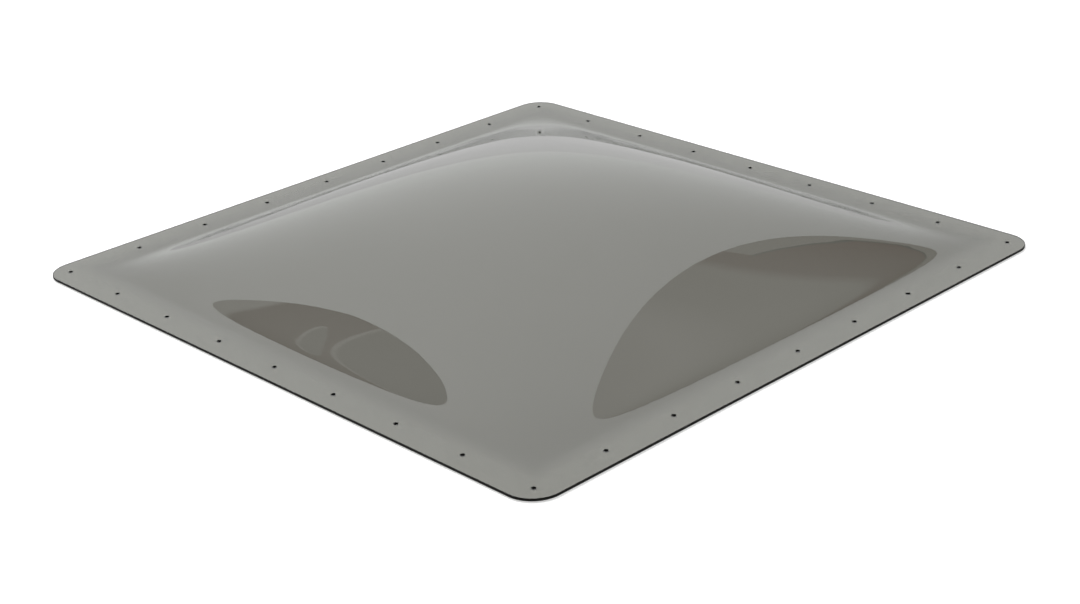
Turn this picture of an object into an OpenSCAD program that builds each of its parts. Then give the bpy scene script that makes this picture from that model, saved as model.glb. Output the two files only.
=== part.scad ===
// Square skylight for the roof of a caravan or camper, screwed down all round its flange.
// One sheet of smoked polycarbonate, clamped at its rim and blown up into a low dome.
// Four lengths of clear sealing strip bed the flange on the roof.
// The origin is the middle of the underside, on the roof, with +Z up.

/* [Flange] */
// Width of the flange across its straight sides, the same both ways (34 inches)
flange_w = 863.6; // [700:0.1:1000]
// Radius of the flange's corners (1 3/8 inches)
corner_r = 34.9; // [30:0.1:80]
// Width of the flat rim, from the flange's edge to the foot of the dome
rim_w = 47.6; // [40:0.1:90]
// Thickness of the sheet at the flange
sheet_t = 3; // [2:0.1:6]

/* [Dome] */
// Rise of the dome's outside above the top of the flange (3 5/16 inches)
dome_rise = 84.1; // [60:0.1:180]
// Thickness of the sheet at the crown, where blowing has stretched it thinner
crown_t = 2.6; // [1.5:0.1:5]
// Distance in from its foot over which the dome turns up out of the flange
foot_easing = 30; // [2:0.5:80]

/* [Screw holes] */
// Diameter of a screw hole, for a number 8 screw
hole_d = 4.8; // [3.5:0.1:7]
// Distance from the flange's edge to the middle of a hole (1 inch)
hole_inset = 25.4; // [18:0.1:32]
// Spaces between the holes along one side, corner to corner
hole_spaces = 8; // [4:1:12]

/* [Sealing strips] */
// Width of a sealing strip
seal_w = 25.4; // [20:0.1:28]
// Thickness of a sealing strip
seal_t = 1.6; // [1:0.1:6]
// Room all round a screw hole where it passes through a strip
punch_clearance = 0.6; // [0.2:0.1:2]
// Gap where the end of one strip meets the side of the next
butt_gap = 0.3; // [0.1:0.1:1]

/* [Facets] */
// Cells of the dome's surface along one side
dome_cells = 36; // [20:2:44]

/* [Hidden] */
// Circles with this many sides are true circles
$fn = 64;
// Half the dome's width at its foot
foot_half = flange_w / 2 - rim_w;
// Half the square that the holes lie on
hole_half = flange_w / 2 - hole_inset;
hole_pitch = 2 * hole_half / hole_spaces;
// The strips are centred on the row of holes
seal_inset = hole_inset - seal_w / 2;
seal_half = flange_w / 2 - seal_inset;
seal_corner_r = corner_r - seal_inset;
// Terms of the series that gives the shape of a blown square sheet
series_terms = 8;

// 2D square with round corners, centred
module rounded_square(w, r) {
    square([w, w - 2 * r], center = true);
    square([w - 2 * r, w], center = true);
    for (x = [-1, 1], y = [-1, 1])
        translate([x * (w / 2 - r), y * (w / 2 - r)]) circle(r = r);
}

// 2D row of holes on one side of the square, from its left corner to one pitch short of the next
module side_holes(d) {
    for (i = [0 : hole_spaces - 1])
        translate([-hole_half + i * hole_pitch, -hole_half]) circle(d = d);
}

// Height of a square sheet held at its rim and blown up evenly, as a share of the middle's height.
// a and b are how far out a point lies, 0 in the middle and 1 at the rim, with a the greater.
function cosh_share(k, b) = (exp(k * (b - 1)) + exp(-k * (b + 1))) / (1 + exp(-2 * k));
function bulge_term(n, a, b) = 32 / pow(n * PI, 3) * cosh_share(n * PI / 2, b) * cos(90 * n * a);
function bulge_sum(a, b, j = 0) = j == series_terms ? 0
    : (j % 2 == 0 ? 1 : -1) * bulge_term(2 * j + 1, a, b) + bulge_sum(a, b, j + 1);
function bulge(a, b) = 1 - a * a - bulge_sum(a, b);
bulge_middle = bulge(0, 0);
function blown(u, v) =
    let (a = max(abs(u), abs(v)), b = min(abs(u), abs(v)))
    a < 1 ? max(0, bulge(a, b) / bulge_middle) : 0;

// How far the sheet has turned up at a distance in from the foot: 0 at the foot, nearly 1 far in
function eased(distance) = distance / norm([distance, foot_easing]);
function turned_up(u, v) = eased(foot_half * (1 - abs(u))) * eased(foot_half * (1 - abs(v)));

// Heights of the dome's outside and inside at such a point, above the underside of the flange
function outside_z(u, v) = sheet_t + dome_rise * blown(u, v) * turned_up(u, v) / turned_up(0, 0);
function inside_z(u, v) = outside_z(u, v) - sheet_t + (sheet_t - crown_t) * blown(u, v);

// Grid lines crowd together towards the foot, where the sheet bends most
function grid(i) = sin(90 * (2 * i / dome_cells - 1));

// The blown part of the sheet: its outside, its inside, and the wall round its foot
module blown_sheet() {
    row = dome_cells + 1;
    layer = row * row;
    points = [
        for (side = [0, 1], j = [0 : dome_cells], i = [0 : dome_cells])
            let (u = grid(i), v = grid(j))
            [u * foot_half, v * foot_half, side == 0 ? outside_z(u, v) : inside_z(u, v)]
    ];
    outside = [
        for (j = [0 : dome_cells - 1], i = [0 : dome_cells - 1], k = [0, 1])
            let (p = j * row + i, up = (i < dome_cells / 2) == (j < dome_cells / 2))
            up ? (k == 0 ? [p, p + row + 1, p + 1] : [p, p + row, p + row + 1])
               : (k == 0 ? [p, p + row, p + 1] : [p + 1, p + row, p + row + 1])
    ];
    inside = [for (f = outside) [f[2] + layer, f[1] + layer, f[0] + layer]];
    rim = concat(
        [for (i = [0 : dome_cells - 1]) i],
        [for (j = [0 : dome_cells - 1]) j * row + dome_cells],
        [for (i = [dome_cells : -1 : 1]) dome_cells * row + i],
        [for (j = [dome_cells : -1 : 1]) j * row]
    );
    wall = [
        for (n = [0 : len(rim) - 1], k = [0, 1])
            let (p = rim[n], q = rim[(n + 1) % len(rim)])
            k == 0 ? [p, q, q + layer] : [p, q + layer, p + layer]
    ];
    polyhedron(points = points, faces = concat(outside, inside, wall), convexity = 4);
}

// The whole sheet: flat flange with its screw holes, and the dome blown up in its middle
module dome() {
    color([0.55, 0.56, 0.54])
    translate([0, 0, seal_t]) {
        linear_extrude(sheet_t)
            difference() {
                rounded_square(flange_w, corner_r);
                square(2 * foot_half, center = true);
                for (turn = [0 : 90 : 270]) rotate(turn) side_holes(hole_d);
            }
        blown_sheet();
    }
}

// One length of sealing strip along the front side, punched at its screw holes.
// It runs from the left corner to the side of the next strip.
module seal() {
    color([0.93, 0.94, 0.93])
    linear_extrude(seal_t)
        difference() {
            intersection() {
                rounded_square(2 * seal_half, seal_corner_r);
                translate([-seal_half, -seal_half])
                    square([2 * seal_half - seal_w - butt_gap, seal_w]);
            }
            side_holes(hole_d + 2 * punch_clearance);
        }
}

dome();
seal();  // seal_front
rotate(90) seal();  // seal_right
rotate(180) seal();  // seal_rear
rotate(270) seal();  // seal_left
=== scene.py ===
import math

import bmesh
import bpy
import numpy as np
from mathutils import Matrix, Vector
from mathutils.geometry import delaunay_2d_cdt


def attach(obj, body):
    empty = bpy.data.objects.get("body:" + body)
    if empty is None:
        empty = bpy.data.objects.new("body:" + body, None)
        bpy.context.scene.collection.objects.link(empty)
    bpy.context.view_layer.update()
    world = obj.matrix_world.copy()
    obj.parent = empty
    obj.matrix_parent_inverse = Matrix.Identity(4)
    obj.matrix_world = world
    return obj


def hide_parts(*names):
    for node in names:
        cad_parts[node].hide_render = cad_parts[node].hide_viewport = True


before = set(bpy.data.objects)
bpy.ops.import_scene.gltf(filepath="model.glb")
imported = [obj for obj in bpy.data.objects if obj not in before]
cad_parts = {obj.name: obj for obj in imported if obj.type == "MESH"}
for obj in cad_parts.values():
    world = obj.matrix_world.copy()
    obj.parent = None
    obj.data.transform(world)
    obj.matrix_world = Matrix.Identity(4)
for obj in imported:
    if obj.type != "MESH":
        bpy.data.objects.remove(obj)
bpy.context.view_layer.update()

# Lengths of the skylight are in millimetres, and those of the studio round it in metres.

# Sealing strips: four lengths of clear, soft strip that bed the flange on the roof.
# Each is cut from a roll and butts against the side of the next, its outer end trimmed to the
# flange's round corner, and each screw hole is punched a little wider than the screw.
FLANGE_HALF = 431.8
FLANGE_CORNER = 34.9
HOLE_INSET = 25.4
HOLE_PITCH = 101.6
HOLE_HALF = FLANGE_HALF - HOLE_INSET
STRIP_WIDTH = 25.4
STRIP_THICK = 1.6
STRIP_INSET = HOLE_INSET - STRIP_WIDTH / 2
STRIP_HALF = FLANGE_HALF - STRIP_INSET
STRIP_GAP = 0.3
STRIP_HOLE = 3.0
STRIP_EDGE_SOFT = 0.25
STRIP_HOLE_SOFT = 0.12
BUTT_CORNER = 0.8
HOLES_A_SIDE = 8
# Gap left between a strip and the flange, so that their faces don't lie in one plane
BEDDING_GAP = 0.04
MERGE_DISTANCE = 2e-6


def round_outline(low, high, radii, inset, along=24, turn=10):
    """Rectangle from low to high with a quarter circle at each corner, drawn counterclockwise from
    its lower left. Moving the whole line in by inset shortens every radius by as much."""
    corners = ((low[0], low[1], 180), (high[0], low[1], 270),
               (high[0], high[1], 0), (low[0], high[1], 90))
    middle = ((low[0] + high[0]) / 2, (low[1] + high[1]) / 2)
    arcs = []
    for (x, y, start), radius in zip(corners, radii):
        centre = np.array([x + math.copysign(radius, middle[0] - x),
                           y + math.copysign(radius, middle[1] - y)])
        angle = np.radians(start + np.linspace(0, 90, turn + 1))
        arcs.append(centre + (radius - inset) * np.column_stack([np.cos(angle), np.sin(angle)]))
    sides = []
    step = np.linspace(0, 1, along + 1)[1:-1, None]
    for arc, following in zip(arcs, arcs[1:] + arcs[:1]):
        sides += [arc, arc[-1] * (1 - step) + following[0] * step]
    return np.vstack(sides)


def hole_ring(centre, radius, count=28):
    """Circle of that radius about the centre, drawn counterclockwise."""
    angle = np.linspace(0, 2 * np.pi, count, endpoint=False)
    return np.asarray(centre) + radius * np.column_stack([np.cos(angle), np.sin(angle)])


def edge_profile(top, bottom, soft, steps=4):
    """Insets and heights down a cut edge: a short flat, a quarter circle of the soft radius over the
    top corner, straight down the face, a quarter circle under the lower corner, and flat again."""
    lead = 2.5 * soft
    angle = np.linspace(0, np.pi / 2, steps + 1)
    over = np.column_stack([soft * (1 - np.sin(angle)), top - soft * (1 - np.cos(angle))])
    under = np.column_stack([over[::-1, 0], bottom + top - over[::-1, 1]])
    return np.vstack([[lead, top], over, under, [lead, bottom]])


def flat_filling(loops, is_open):
    """Triangles that fill the flat area between closed lines of points, leaving out those whose
    middle lies in an opening. They turn counterclockwise seen from above."""
    touching = 1e-7
    points = np.vstack(loops)
    edges, start = [], 0
    for loop in loops:
        here = np.arange(start, start + len(loop))
        edges.append(np.column_stack([here, np.roll(here, -1)]))
        start += len(loop)
    made = delaunay_2d_cdt([Vector(p) for p in points], np.vstack(edges).tolist(), [], 0, touching)
    spots = np.array([tuple(p) for p in made[0]])
    triangles = np.array(made[2])
    return spots, triangles[~is_open(spots[triangles].mean(1))]


def rim_wall(loops, heights, outward):
    """Wall carried down through equal loops of points, one loop for each height."""
    rows, count = len(loops), len(loops[0])
    points = np.column_stack([np.vstack(loops), np.repeat(heights, count)])
    k, i = np.meshgrid(np.arange(rows - 1), np.arange(count), indexing="ij")
    k, i, j = k.ravel(), i.ravel(), (i.ravel() + 1) % count
    quads = np.column_stack([k * count + i, (k + 1) * count + i, (k + 1) * count + j, k * count + j])
    return points, quads if outward else quads[:, ::-1]


def cut_sheet(outline, holes, hole_radius, top, bottom, soft, hole_soft, cut=0, foot=None):
    """Parts of a flat sheet with soft-cornered cut edges: its top and underside filled between the
    outline and the holes, and a wall down the outline and down each hole. Cut is the number of
    those walls' material. The foot is the line where a blown part takes over, and the sheet is
    left open inside it."""
    parts = []
    rim = edge_profile(top, bottom, soft)
    bore = edge_profile(top, bottom, hole_soft)
    border = [outline(rim[0, 0])] + [hole_ring(c, hole_radius + bore[0, 0]) for c in holes]
    if foot is not None:
        border.append(foot)

    def is_open(spots):
        from_holes = np.linalg.norm(spots[:, None] - np.asarray(holes)[None], axis=2)
        inside = (from_holes < hole_radius + bore[0, 0]).any(1)
        return inside if foot is None else inside | (np.abs(spots).max(1) < np.abs(foot).max())

    spots, triangles = flat_filling(border, is_open)
    parts.append((np.column_stack([spots, np.full(len(spots), top)]), triangles, 0))
    parts.append((np.column_stack([spots, np.full(len(spots), bottom)]), triangles[:, ::-1], 0))
    parts.append((*rim_wall([outline(inset) for inset in rim[:, 0]], rim[:, 1], True), cut))
    for centre in holes:
        rings = [hole_ring(centre, hole_radius + inset) for inset in bore[:, 0]]
        parts.append((*rim_wall(rings, bore[:, 1], False), cut))
    return parts


def joined_piece(name, parts, materials):
    """One closed mesh from parts in millimetres, its shared border points merged. Each part is its
    points, its faces and the number of its material."""
    points = np.vstack([p for p, _, _ in parts]) / 1000
    faces, start = [], 0
    for p, f, _ in parts:
        faces += (f + start).tolist()
        start += len(p)
    mesh = bpy.data.meshes.new(name)
    mesh.from_pydata(points.tolist(), [], faces)
    numbers = np.repeat([m for _, _, m in parts], [len(f) for _, f, _ in parts])
    mesh.polygons.foreach_set("material_index", numbers)
    shell = bmesh.new()
    shell.from_mesh(mesh)
    bmesh.ops.remove_doubles(shell, verts=shell.verts, dist=MERGE_DISTANCE)
    shell.to_mesh(mesh)
    shell.free()
    mesh.shade_smooth()
    for material in materials:
        mesh.materials.append(material)
    piece = bpy.data.objects.new(name, mesh)
    bpy.context.scene.collection.objects.link(piece)
    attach(piece, "root")
    return piece


def handling_marks():
    """Node group: soft smudges left by hands and cloths, and the faint waviness of a formed or
    rolled face, both from noise in object space."""
    smudge_detail, smudge_roughness, smudge_distortion = 5, 0.62, 0.6
    smudge_from, smudge_to = 0.42, 0.72
    wave_detail = 1
    group = bpy.data.node_groups.new("handling_marks", "ShaderNodeTree")
    group.interface.new_socket("Place", in_out="INPUT", socket_type="NodeSocketVector")
    group.interface.new_socket("Smudge scale", in_out="INPUT", socket_type="NodeSocketFloat")
    group.interface.new_socket("Wave scale", in_out="INPUT", socket_type="NodeSocketFloat")
    group.interface.new_socket("Smudges", in_out="OUTPUT", socket_type="NodeSocketFloat")
    group.interface.new_socket("Waves", in_out="OUTPUT", socket_type="NodeSocketFloat")
    nodes, link = group.nodes, group.links.new
    given, result = nodes.new("NodeGroupInput"), nodes.new("NodeGroupOutput")
    smudge = nodes.new("ShaderNodeTexNoise")
    smudge.inputs["Detail"].default_value = smudge_detail
    smudge.inputs["Roughness"].default_value = smudge_roughness
    smudge.inputs["Distortion"].default_value = smudge_distortion
    soften = nodes.new("ShaderNodeMapRange")
    soften.interpolation_type = "SMOOTHSTEP"
    soften.inputs["From Min"].default_value = smudge_from
    soften.inputs["From Max"].default_value = smudge_to
    wave = nodes.new("ShaderNodeTexNoise")
    wave.inputs["Detail"].default_value = wave_detail
    link(given.outputs["Place"], smudge.inputs["Vector"])
    link(given.outputs["Smudge scale"], smudge.inputs["Scale"])
    link(smudge.outputs["Fac"], soften.inputs["Value"])
    link(soften.outputs["Result"], result.inputs["Smudges"])
    link(given.outputs["Place"], wave.inputs["Vector"])
    link(given.outputs["Wave scale"], wave.inputs["Scale"])
    link(wave.outputs["Fac"], result.inputs["Waves"])
    return group


def clear_plastic(name, marks, smudge_scale, wave_scale, rough, wave_depth, tint, index):
    """See-through plastic: glass-like with its own index, roughness between two values by the
    smudges, a tint that dulls slightly under them, and a very shallow waviness."""
    material = bpy.data.materials.new(name)
    material.use_nodes = True
    nodes, link = material.node_tree.nodes, material.node_tree.links.new
    shader = nodes["Principled BSDF"]
    shader.inputs["Transmission Weight"].default_value = 1
    shader.inputs["IOR"].default_value = index
    place = nodes.new("ShaderNodeTexCoord")
    effect = nodes.new("ShaderNodeGroup")
    effect.node_tree = marks
    effect.inputs["Smudge scale"].default_value = smudge_scale
    effect.inputs["Wave scale"].default_value = wave_scale
    link(place.outputs["Object"], effect.inputs["Place"])
    gloss = nodes.new("ShaderNodeMapRange")
    gloss.inputs["To Min"].default_value = rough[0]
    gloss.inputs["To Max"].default_value = rough[1]
    link(effect.outputs["Smudges"], gloss.inputs["Value"])
    link(gloss.outputs["Result"], shader.inputs["Roughness"])
    colour = nodes.new("ShaderNodeMix")
    colour.data_type = "RGBA"
    colour.inputs["A"].default_value = (*tint[0], 1)
    colour.inputs["B"].default_value = (*tint[1], 1)
    link(effect.outputs["Smudges"], colour.inputs["Factor"])
    link(colour.outputs["Result"], shader.inputs["Base Color"])
    bump = nodes.new("ShaderNodeBump")
    bump.inputs["Strength"].default_value = 1
    bump.inputs["Distance"].default_value = wave_depth
    link(effect.outputs["Waves"], bump.inputs["Height"])
    link(bump.outputs["Normal"], shader.inputs["Normal"])
    return material


marks = handling_marks()
# Far below a real strip's, so that the strips hardly show through the sheet
STRIP_INDEX = 1.03
clear_strip = clear_plastic("clear_strip", marks, smudge_scale=60, wave_scale=140, rough=(0.02, 0.05),
                            wave_depth=0.00001, tint=((0.995, 1.0, 0.995), (0.985, 0.99, 0.985)),
                            index=STRIP_INDEX)


def strip_outline(inset):
    """The front strip: round at the flange's corner, and cut square where it meets the next."""
    low = (-STRIP_HALF, -STRIP_HALF)
    high = (STRIP_HALF - STRIP_WIDTH - STRIP_GAP, -STRIP_HALF + STRIP_WIDTH)
    return round_outline(low, high, (FLANGE_CORNER - STRIP_INSET,) + (BUTT_CORNER,) * 3, inset)


strip_holes = [(-HOLE_HALF + i * HOLE_PITCH, -HOLE_HALF) for i in range(HOLES_A_SIDE)]
front_strip = cut_sheet(strip_outline, strip_holes, STRIP_HOLE, STRIP_THICK - BEDDING_GAP, 0,
                        STRIP_EDGE_SOFT, STRIP_HOLE_SOFT)
for turns, side in enumerate(("front", "right", "rear", "left")):
    c, s = round(math.cos(turns * math.pi / 2)), round(math.sin(turns * math.pi / 2))
    turn = np.array([[c, s, 0], [-s, c, 0], [0, 0, 1]])
    turned = [(p @ turn, f, m) for p, f, m in front_strip]
    strip = joined_piece(f"strip_{side}", turned, [clear_strip])
    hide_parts(f"seal_{side}")

# Dome: one sheet of smoked polycarbonate, 3 mm thick. Its rim is clamped flat while hot and the
# middle is blown up into a low square dome, thinnest at the crown. The flange is then trimmed and
# drilled for 32 screws. Its cut edges are painted near black, a painted shade for how dark they look
# along the smoked sheet.
SHEET_THICK = 3.0
FLANGE_TOP = STRIP_THICK + SHEET_THICK
RIM_WIDTH = 47.6
FOOT_HALF = FLANGE_HALF - RIM_WIDTH
DOME_RISE = 84.1
CROWN_THINNING = 0.4
FOOT_EASING = 30.0
HOLE_RADIUS = 2.4
EDGE_SOFT = 0.3
BORE_SOFT = 0.15
DOME_CELLS = 184
# Share of the grid's spacing that crowds towards the foot, where the sheet bends most
CROWDING = 0.7
# The series for the blown sheet is summed over the odd numbers below this one
SERIES_END = 24


def blown_share(u, v):
    """Height of a square sheet held at its rim and blown up evenly, as a share of the crown's: the
    series for a membrane under even pressure, which is 1 - a^2 less a sum of cosines in a times
    hyperbolic cosines in b, where a and b are the greater and lesser distance out."""
    def series(a, b):
        total = 1 - a * a
        for n in range(1, SERIES_END, 2):
            k = n * np.pi / 2
            share = (np.exp(k * (b - 1)) + np.exp(-k * (b + 1))) / (1 + np.exp(-2 * k))
            total = total - (-1) ** ((n - 1) // 2) * 32 / (n * np.pi) ** 3 * share * np.cos(k * a)
        return total

    a, b = np.maximum(abs(u), abs(v)), np.minimum(abs(u), abs(v))
    return np.clip(series(a, b) / series(np.zeros(1), np.zeros(1))[0], 0, 1)


def dome_outside(x, y):
    """Blown share and height of the dome's outside at places in millimetres. Above the flange, the
    height is the rise times the share times how far the sheet has turned up at its distance d in
    from each foot line, d / sqrt(d^2 + easing^2), scaled to be 1 at the crown."""
    share = blown_share(x / FOOT_HALF, y / FOOT_HALF)
    turned_up = 1 + (FOOT_EASING / FOOT_HALF) ** 2
    for place in (x, y):
        inward = np.maximum(FOOT_HALF - abs(place), 0)
        turned_up = turned_up * inward / np.hypot(inward, FOOT_EASING)
    return share, FLANGE_TOP + DOME_RISE * share * turned_up


def blown_part():
    """Outside and inside of the dome on one grid, whose lines crowd towards the foot, and the foot
    line. The inside lies a sheet's thickness below the outside, less the thinning at the crown."""
    even = np.linspace(-1, 1, DOME_CELLS + 1)
    line = CROWDING * np.sin(np.pi / 2 * even) + (1 - CROWDING) * even
    u, v = np.meshgrid(line, line)
    share, outside = dome_outside(u * FOOT_HALF, v * FOOT_HALF)
    inside = outside - SHEET_THICK + CROWN_THINNING * share
    row = DOME_CELLS + 1
    j, i = np.meshgrid(np.arange(DOME_CELLS), np.arange(DOME_CELLS), indexing="ij")
    p = (j * row + i).ravel()
    quads = np.column_stack([p, p + 1, p + row + 1, p + row])
    x, y = (u * FOOT_HALF).ravel(), (v * FOOT_HALF).ravel()
    edge = line * FOOT_HALF
    foot = np.vstack([np.column_stack([edge[:-1], np.full(DOME_CELLS, -FOOT_HALF)]),
                      np.column_stack([np.full(DOME_CELLS, FOOT_HALF), edge[:-1]]),
                      np.column_stack([edge[:0:-1], np.full(DOME_CELLS, FOOT_HALF)]),
                      np.column_stack([np.full(DOME_CELLS, -FOOT_HALF), edge[:0:-1]])])
    return [(np.column_stack([x, y, outside.ravel()]), quads, 0),
            (np.column_stack([x, y, inside.ravel()]), quads[:, ::-1], 0)], foot


def flange_outline(inset):
    """The flange's square outline with its round corners."""
    return round_outline((-FLANGE_HALF,) * 2, (FLANGE_HALF,) * 2, (FLANGE_CORNER,) * 4, inset,
                         along=40, turn=16)


POLYCARBONATE_INDEX = 1.585
SMOKE_COLOUR = (0.23, 0.225, 0.165, 1)
SMOKE_DENSITY = 606
smoked_sheet = clear_plastic("smoked_sheet", marks, smudge_scale=7, wave_scale=5, rough=(0.012, 0.03),
                             wave_depth=0.00003, tint=((1.0, 1.0, 1.0), (0.985, 0.985, 0.98)),
                             index=POLYCARBONATE_INDEX)
smoke_nodes, smoke_link = smoked_sheet.node_tree.nodes, smoked_sheet.node_tree.links.new
smoke = smoke_nodes.new("ShaderNodeVolumeAbsorption")
smoke.inputs["Color"].default_value = SMOKE_COLOUR
smoke.inputs["Density"].default_value = SMOKE_DENSITY
smoke_link(smoke.outputs["Volume"], smoke_nodes["Material Output"].inputs["Volume"])

# Painted shade: the cut edges and screw bores are coloured near black for how dark the smoked sheet looks
# edge-on
CUT_SHADE_COLOUR = (0.005, 0.005, 0.0045, 1)
CUT_SPECULAR = 0.1
CUT_ROUGH = (0.4, 0.6)
SAW_MARK_DEPTH = 0.00006
cut_edge = bpy.data.materials.new("cut_edge")
cut_edge.use_nodes = True
cut_nodes, cut_link = cut_edge.node_tree.nodes, cut_edge.node_tree.links.new
cut_shader = cut_nodes["Principled BSDF"]
cut_shader.inputs["Base Color"].default_value = CUT_SHADE_COLOUR
cut_shader.inputs["Specular IOR Level"].default_value = CUT_SPECULAR
cut_marks = cut_nodes.new("ShaderNodeGroup")
cut_marks.node_tree = marks
cut_marks.inputs["Smudge scale"].default_value = 90
cut_marks.inputs["Wave scale"].default_value = 1200
cut_place = cut_nodes.new("ShaderNodeTexCoord")
cut_gloss = cut_nodes.new("ShaderNodeMapRange")
cut_gloss.inputs["To Min"].default_value = CUT_ROUGH[0]
cut_gloss.inputs["To Max"].default_value = CUT_ROUGH[1]
cut_bump = cut_nodes.new("ShaderNodeBump")
cut_bump.inputs["Distance"].default_value = SAW_MARK_DEPTH
cut_link(cut_place.outputs["Object"], cut_marks.inputs["Place"])
cut_link(cut_marks.outputs["Smudges"], cut_gloss.inputs["Value"])
cut_link(cut_gloss.outputs["Result"], cut_shader.inputs["Roughness"])
cut_link(cut_marks.outputs["Waves"], cut_bump.inputs["Height"])
cut_link(cut_bump.outputs["Normal"], cut_shader.inputs["Normal"])

screw_holes = [spot for a in -HOLE_HALF + HOLE_PITCH * np.arange(HOLES_A_SIDE) for spot in
               ((a, -HOLE_HALF), (HOLE_HALF, a), (-a, HOLE_HALF), (-HOLE_HALF, -a))]
blown, foot = blown_part()
flange = cut_sheet(flange_outline, screw_holes, HOLE_RADIUS, FLANGE_TOP, STRIP_THICK,
                   EDGE_SOFT, BORE_SOFT, 1, foot)
dome = joined_piece("smoked_dome", blown + flange, [smoked_sheet, cut_edge])
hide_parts("dome")

# Studio: a white floor and a white surround, with dark walls far to the sides that only show as
# reflections in the sheet, and one wide soft lamp high up for the shadow on the floor.
FLOOR_HALF = 40.0
FLOOR_DROP = 0.0002
FLOOR_COLOUR = (0.8, 0.8, 0.8, 1)
# Light that the camera sees added to the floor, near the skylight and far from it, and the two
# distances between which it grows
LIFT_NEAR, LIFT_FAR = 0.42, 1
LIFT_FROM, LIFT_TO = 1.2, 5
# Floor as seen through the sheet: a painted shade under the dome for the dome's shadow, fading out over a
# band round its foot
DOME_SHADE = 0.7
SHADE_FROM, SHADE_TO = 0.38, 0.415
SHADE_MIDDLE = (0.012, 0.012, 0)
# Floor as mirrored in the sheet: a level, less a painted shade near the skylight that fades with distance
MIRROR_LEVEL, MIRROR_SHADE = 0.88, 0.06


def staged(name, points, faces, material):
    """A piece of the studio, which is no part of the skylight."""
    mesh = bpy.data.meshes.new(name)
    mesh.from_pydata(points, [], faces)
    mesh.materials.append(material)
    thing = bpy.data.objects.new(name, mesh)
    bpy.context.scene.collection.objects.link(thing)
    return thing


def floor_white():
    """Pale floor that takes the shadow, stays white in reflections and through the smoked flange, and
    can be seen through from below. Seen through the sheet it has a painted shade under the dome, and
    mirrored in the sheet a painted shade near the skylight."""
    material = bpy.data.materials.new("floor_white")
    material.use_nodes = True
    nodes, link = material.node_tree.nodes, material.node_tree.links.new
    nodes.remove(nodes["Principled BSDF"])
    matt = nodes.new("ShaderNodeBsdfDiffuse")
    matt.inputs["Color"].default_value = FLOOR_COLOUR
    lift = nodes.new("ShaderNodeEmission")
    whiten = nodes.new("ShaderNodeMapRange")
    whiten.inputs["From Min"].default_value = LIFT_FROM
    whiten.inputs["From Max"].default_value = LIFT_TO
    whiten.inputs["To Min"].default_value = LIFT_NEAR
    whiten.inputs["To Max"].default_value = LIFT_FAR
    lifted = nodes.new("ShaderNodeAddShader")
    white = nodes.new("ShaderNodeEmission")
    # Painted shade under the dome, for rays through the sheet
    place = nodes.new("ShaderNodeTexCoord")
    moved = nodes.new("ShaderNodeVectorMath")
    moved.operation = "SUBTRACT"
    moved.inputs[1].default_value = SHADE_MIDDLE
    centred = nodes.new("ShaderNodeVectorMath")
    centred.operation = "ABSOLUTE"
    spot = nodes.new("ShaderNodeSeparateXYZ")
    out = nodes.new("ShaderNodeMath")
    out.operation = "MAXIMUM"
    shade = nodes.new("ShaderNodeMapRange")
    shade.interpolation_type = "SMOOTHSTEP"
    shade.inputs["From Min"].default_value = SHADE_FROM
    shade.inputs["From Max"].default_value = SHADE_TO
    shade.inputs["To Min"].default_value = DOME_SHADE
    shade.inputs["To Max"].default_value = 1
    link(place.outputs["Object"], moved.inputs[0])
    link(moved.outputs["Vector"], centred.inputs[0])
    link(centred.outputs["Vector"], spot.inputs["Vector"])
    link(spot.outputs["X"], out.inputs[0])
    link(spot.outputs["Y"], out.inputs[1])
    link(out.outputs["Value"], shade.inputs["Value"])
    link(shade.outputs["Result"], white.inputs["Strength"])
    clear = nodes.new("ShaderNodeBsdfTransparent")
    path = nodes.new("ShaderNodeLightPath")
    side = nodes.new("ShaderNodeNewGeometry")
    far = nodes.new("ShaderNodeVectorMath")
    far.operation = "LENGTH"
    # Painted shade near the skylight, for rays mirrored in the sheet
    dimmed = nodes.new("ShaderNodeMath")
    dimmed.operation = "DIVIDE"
    dimmed.inputs[0].default_value = MIRROR_SHADE
    level = nodes.new("ShaderNodeMath")
    level.operation = "SUBTRACT"
    level.inputs[0].default_value = MIRROR_LEVEL
    pale = nodes.new("ShaderNodeEmission")
    link(place.outputs["Object"], far.inputs[0])
    link(far.outputs["Value"], whiten.inputs["Value"])
    link(whiten.outputs["Result"], lift.inputs["Strength"])
    link(far.outputs["Value"], dimmed.inputs[1])
    link(dimmed.outputs["Value"], level.inputs[1])
    link(level.outputs["Value"], pale.inputs["Strength"])
    as_seen, mirrored, through, by_side = (nodes.new("ShaderNodeMixShader") for _ in range(4))
    link(matt.outputs[0], lifted.inputs[0])
    link(lift.outputs[0], lifted.inputs[1])
    link(path.outputs["Is Camera Ray"], as_seen.inputs[0])
    link(matt.outputs[0], as_seen.inputs[1])
    link(lifted.outputs[0], as_seen.inputs[2])
    link(path.outputs["Is Glossy Ray"], mirrored.inputs[0])
    link(as_seen.outputs[0], mirrored.inputs[1])
    link(pale.outputs[0], mirrored.inputs[2])
    link(path.outputs["Is Transmission Ray"], through.inputs[0])
    link(mirrored.outputs[0], through.inputs[1])
    link(white.outputs[0], through.inputs[2])
    link(side.outputs["Backfacing"], by_side.inputs[0])
    link(through.outputs[0], by_side.inputs[1])
    link(clear.outputs[0], by_side.inputs[2])
    link(by_side.outputs[0], nodes["Material Output"].inputs["Surface"])
    return material


floor_corners = [(x * FLOOR_HALF, y * FLOOR_HALF, -FLOOR_DROP)
                 for x, y in ((-1, -1), (1, -1), (1, 1), (-1, 1))]
staged("floor", floor_corners, [(0, 1, 2, 3)], floor_white())

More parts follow.
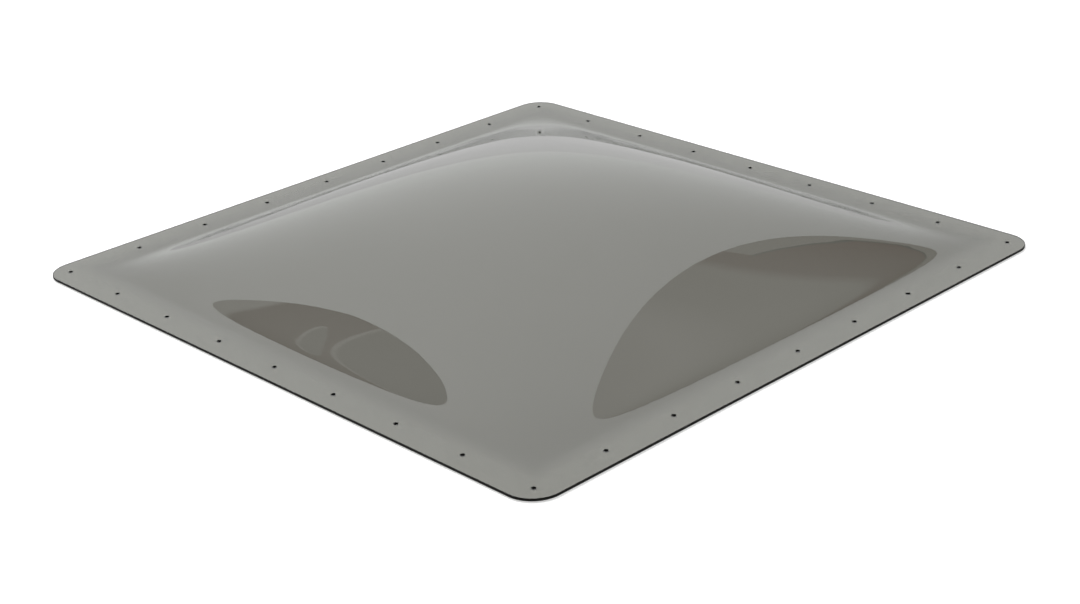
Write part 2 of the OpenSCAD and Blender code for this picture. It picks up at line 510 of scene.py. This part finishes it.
# Walls: a dark wall to the right and one to the left, on a circle round the skylight, with edges
# and tones guessed from the dark patches that the sheet mirrors. Bearings and widths are in
# degrees, and heights and distances in metres.
WALL_DISTANCE = 30.0
LINE_DISTANCE = 29.9
NEAR_DISTANCE = 29.8
WALL_TOP = 46.0
BLACK, BROWN, GREY, PALE = (0.0, 0.0, 0.0), (0.1, 0.02, 0.0), (0.38, 0.36, 0.32), (0.6, 0.58, 0.54)


def at_bearing(bearing, height, distance):
    """Points on a circle round the skylight, from bearings in degrees from +X and heights."""
    turn = np.radians(bearing)
    return np.column_stack([distance * np.cos(turn), distance * np.sin(turn), height])


def mirrored_only(thing):
    """Keeps a piece of the studio out of everything but reflections."""
    thing.visible_camera = thing.visible_diffuse = thing.visible_transmission = False
    thing.visible_shadow = thing.visible_volume_scatter = False


def far_wall(name, edge, end, tones, distance, count=25):
    """Upright wall on a circle round the skylight: a grid with a row for each bearing and height of
    its near edge, spread evenly from there to its far end, which is upright at the bearing given.
    Its tone follows the list of heights and colours, straight from one to the next."""
    bearings, heights = np.array(edge, float).T
    material = bpy.data.materials.new(name)
    material.use_nodes = True
    nodes, link = material.node_tree.nodes, material.node_tree.links.new
    nodes.remove(nodes["Principled BSDF"])
    place = nodes.new("ShaderNodeTexCoord")
    spot = nodes.new("ShaderNodeSeparateXYZ")
    rise = nodes.new("ShaderNodeMapRange")
    rise.inputs["From Min"].default_value = heights[0]
    rise.inputs["From Max"].default_value = heights[-1]
    ramp = nodes.new("ShaderNodeValToRGB")
    for k, (height, tone) in enumerate(tones):
        share = (height - heights[0]) / (heights[-1] - heights[0])
        stop = ramp.color_ramp.elements[k] if k < 2 else ramp.color_ramp.elements.new(share)
        stop.position = share
        stop.color = (*tone, 1)
    glow = nodes.new("ShaderNodeEmission")
    link(place.outputs["Object"], spot.inputs["Vector"])
    link(spot.outputs["Z"], rise.inputs["Value"])
    link(rise.outputs["Result"], ramp.inputs["Fac"])
    link(ramp.outputs["Color"], glow.inputs["Color"])
    link(glow.outputs[0], nodes["Material Output"].inputs["Surface"])
    rows = len(heights)
    points = np.vstack([at_bearing(np.linspace(start, end, count), np.full(count, height), distance)
                        for start, height in zip(bearings, heights)])
    quads = [(k * count + i, k * count + i + 1, (k + 1) * count + i + 1, (k + 1) * count + i)
             for k in range(rows - 1) for i in range(count - 1)]
    mirrored_only(staged(name, points.tolist(), quads, material))


STEP_HEIGHT = 21.6
STEP_BEARING = 24.1
LINE_WIDTH = 0.35
inner_line = ((22.8, 0.0), (22.8, 13.8), (21.9, 15.4), (21.2, 18.0), (20.8, STEP_HEIGHT))
outer_line = tuple((bearing + LINE_WIDTH, height) for bearing, height in inner_line)
end_edge = ((STEP_BEARING, 0.0), (STEP_BEARING, STEP_HEIGHT))
top_edge = ((STEP_BEARING, STEP_HEIGHT), (STEP_BEARING, WALL_TOP))
upper_tones = ((23.8, BROWN), (25.4, GREY), (31.0, GREY), (35.0, PALE), (WALL_TOP, PALE))
end_tones = ((0.0, GREY), (STEP_HEIGHT, GREY))
line_tones = ((0.0, BLACK), (STEP_HEIGHT, BLACK))
top_tones = ((STEP_HEIGHT, BROWN),) + upper_tones
right_edge = inner_line + ((20.8, WALL_TOP),)
right_tones = ((0.0, BROWN), (20.0, BROWN)) + upper_tones
STEP_END, TOP_END, RIGHT_END = 20.0, 15.0, -25.0
far_wall("wall_right_end", end_edge, STEP_END, end_tones, WALL_DISTANCE)
far_wall("wall_right_top", top_edge, TOP_END, top_tones, WALL_DISTANCE)
far_wall("wall_right_line", outer_line, STEP_END, line_tones, LINE_DISTANCE)
far_wall("wall_right", right_edge, RIGHT_END, right_tones, NEAR_DISTANCE)
LEFT_END = 130.0
left_upper = ((78.6, 32.0), (77.0, 35.5), (70.0, WALL_TOP))
left_edge = ((83.6, 23.2), (81.8, 25.4), (79.9, 28.5)) + left_upper
left_tones = ((23.2, PALE), (24.6, PALE), (25.0, BROWN), (WALL_TOP, BROWN))
far_wall("wall_left", left_edge, LEFT_END, left_tones, WALL_DISTANCE)

# Panel on the left wall, with a sloping lower edge, and half an oval board beside it. Each has a
# thin pale rim, which is a slightly larger panel a little behind it.
PANEL, PANEL_RIM = (0.28, 0.26, 0.23), (0.66, 0.63, 0.58)
RIM_DROP = 0.14
SLOPE_LOW, SLOPE_HIGH = (129.0, 23.45), (79.2, 30.92)
SLOPE_STATIONS = 40
panel_slope = np.linspace(SLOPE_LOW, SLOPE_HIGH, SLOPE_STATIONS)
panel_edge = np.vstack([panel_slope, left_upper])
rim_edge = np.vstack([panel_slope - (0, RIM_DROP), left_upper])
rim_tones = ((rim_edge[0, 1], PANEL_RIM), (WALL_TOP, PANEL_RIM))
panel_tones = ((panel_edge[0, 1], PANEL), (34.5, PANEL), (WALL_TOP, PALE))
far_wall("panel_rim", rim_edge, LEFT_END, rim_tones, LINE_DISTANCE)
far_wall("panel", panel_edge, LEFT_END, panel_tones, NEAR_DISTANCE)


def oval_edge(middle, half_wide, half_high, count=25):
    """Near half of an oval's edge, as bearings and heights from its lowest point to its highest: the
    middle less the half width times a cosine, and plus the half height times a sine."""
    angle = np.linspace(-np.pi / 2, np.pi / 2, count)
    return np.column_stack([middle[0] - half_wide * np.cos(angle), middle[1] + half_high * np.sin(angle)])


OVAL_MIDDLE = (91.2, 28.2)
OVAL_HALF = (4.9, 0.53)
OVAL_RIM = (0.35, 0.07)
for name, rim, tone, distance in (("oval_rim", 1, PANEL_RIM, LINE_DISTANCE),
                                  ("oval", 0, PANEL, NEAR_DISTANCE)):
    edge = oval_edge(OVAL_MIDDLE, OVAL_HALF[0] + rim * OVAL_RIM[0], OVAL_HALF[1] + rim * OVAL_RIM[1])
    far_wall(name, edge, OVAL_MIDDLE[0], ((edge[0, 1], tone), (edge[-1, 1], tone)), distance)

# Surround: white all round. In reflections it is brighter towards one side and overhead and has a
# faint green tint, and the light that it sheds on matt surfaces is dimmer.
SKY_LEVEL = 0.98
SKY_LEAN = (-0.3, 0.3, 0.4)
SKY_OVERHEAD, SKY_POWER = 0.5, 3
SKY_TINT = (0.985, 1, 0.985, 1)
SKY_SEEN, SKY_SHED = 1, 0.6
surround = bpy.data.worlds.new("surround")
bpy.context.scene.world = surround
surround.use_nodes = True
sky = surround.node_tree.nodes["Background"]
sky_nodes, sky_link = surround.node_tree.nodes, surround.node_tree.links.new
sky_place = sky_nodes.new("ShaderNodeTexCoord")
sky_lean = sky_nodes.new("ShaderNodeVectorMath")
sky_lean.operation = "DOT_PRODUCT"
sky_lean.inputs[1].default_value = SKY_LEAN
sky_rise = sky_nodes.new("ShaderNodeSeparateXYZ")
sky_cubed = sky_nodes.new("ShaderNodeMath")
sky_cubed.operation = "POWER"
sky_cubed.inputs[1].default_value = SKY_POWER
sky_overhead = sky_nodes.new("ShaderNodeMath")
sky_overhead.operation = "MULTIPLY_ADD"
sky_overhead.inputs[1].default_value = SKY_OVERHEAD
sky_overhead.inputs[2].default_value = SKY_LEVEL
sky_mirrored = sky_nodes.new("ShaderNodeMath")
sky_tint = sky_nodes.new("ShaderNodeMix")
sky_tint.data_type = "RGBA"
sky_tint.inputs["A"].default_value = (1, 1, 1, 1)
sky_tint.inputs["B"].default_value = SKY_TINT
sky_path = sky_nodes.new("ShaderNodeLightPath")
sky_plain = sky_nodes.new("ShaderNodeMapRange")
sky_plain.inputs["To Min"].default_value = SKY_SEEN
sky_plain.inputs["To Max"].default_value = SKY_SHED
sky_bounced = sky_nodes.new("ShaderNodeMath")
sky_bounced.operation = "SUBTRACT"
sky_bounced.use_clamp = True
sky_level = sky_nodes.new("ShaderNodeMix")
sky_link(sky_place.outputs["Generated"], sky_lean.inputs[0])
sky_link(sky_place.outputs["Generated"], sky_rise.inputs["Vector"])
sky_link(sky_rise.outputs["Z"], sky_cubed.inputs[0])
sky_link(sky_cubed.outputs["Value"], sky_overhead.inputs[0])
sky_link(sky_lean.outputs["Value"], sky_mirrored.inputs[0])
sky_link(sky_overhead.outputs["Value"], sky_mirrored.inputs[1])
sky_link(sky_path.outputs["Is Diffuse Ray"], sky_plain.inputs["Value"])
sky_link(sky_path.outputs["Is Glossy Ray"], sky_bounced.inputs[0])
sky_link(sky_path.outputs["Is Transmission Ray"], sky_bounced.inputs[1])
sky_link(sky_bounced.outputs["Value"], sky_level.inputs["Factor"])
sky_link(sky_plain.outputs["Result"], sky_level.inputs["A"])
sky_link(sky_mirrored.outputs["Value"], sky_level.inputs["B"])
sky_link(sky_level.outputs["Result"], sky.inputs["Strength"])
sky_link(sky_bounced.outputs["Value"], sky_tint.inputs["Factor"])
sky_link(sky_tint.outputs["Result"], sky.inputs["Color"])

# Lamp: one wide soft disk, high up and facing down at the skylight, which gives the floor its soft
# shadow. It doesn't show in reflections.
LAMP_WIDTH = 3.0
LAMP_POWER = 90
LAMP_PLACE = Vector((-0.8, 0.6, 3.6))
lamp_data = bpy.data.lights.new("soft_lamp", "AREA")
lamp_data.shape = "DISK"
lamp_data.size = LAMP_WIDTH
lamp_data.energy = LAMP_POWER
lamp = bpy.data.objects.new("soft_lamp", lamp_data)
lamp.location = LAMP_PLACE
lamp.rotation_euler = LAMP_PLACE.to_track_quat("Z", "Y").to_euler()
lamp.visible_glossy = False
bpy.context.scene.collection.objects.link(lamp)

# Camera: as the photograph was taken, above the near corner and looking down at it, with a long
# lens. Its place and direction come from the 32 screw holes and the flange's edges.
FOCAL_LENGTH = 67.56
SENSOR_WIDTH = 36
CAMERA_PLACE = (-1.58696, -1.65407, 0.97024)
CAMERA_TILT, CAMERA_ROLL, CAMERA_TURN = 65.8659, 2.0542, -44.7757
camera_data = bpy.data.cameras.new("camera")
camera_data.lens = FOCAL_LENGTH
camera_data.sensor_width = SENSOR_WIDTH
camera_data.clip_start = 0.05
camera_data.clip_end = 200
camera = bpy.data.objects.new("camera", camera_data)
camera.location = CAMERA_PLACE
camera.rotation_euler = tuple(math.radians(angle) for angle in (CAMERA_TILT, CAMERA_ROLL, CAMERA_TURN))
bpy.context.scene.collection.objects.link(camera)
bpy.context.scene.camera = camera

bpy.context.scene.view_settings.view_transform = "Standard"
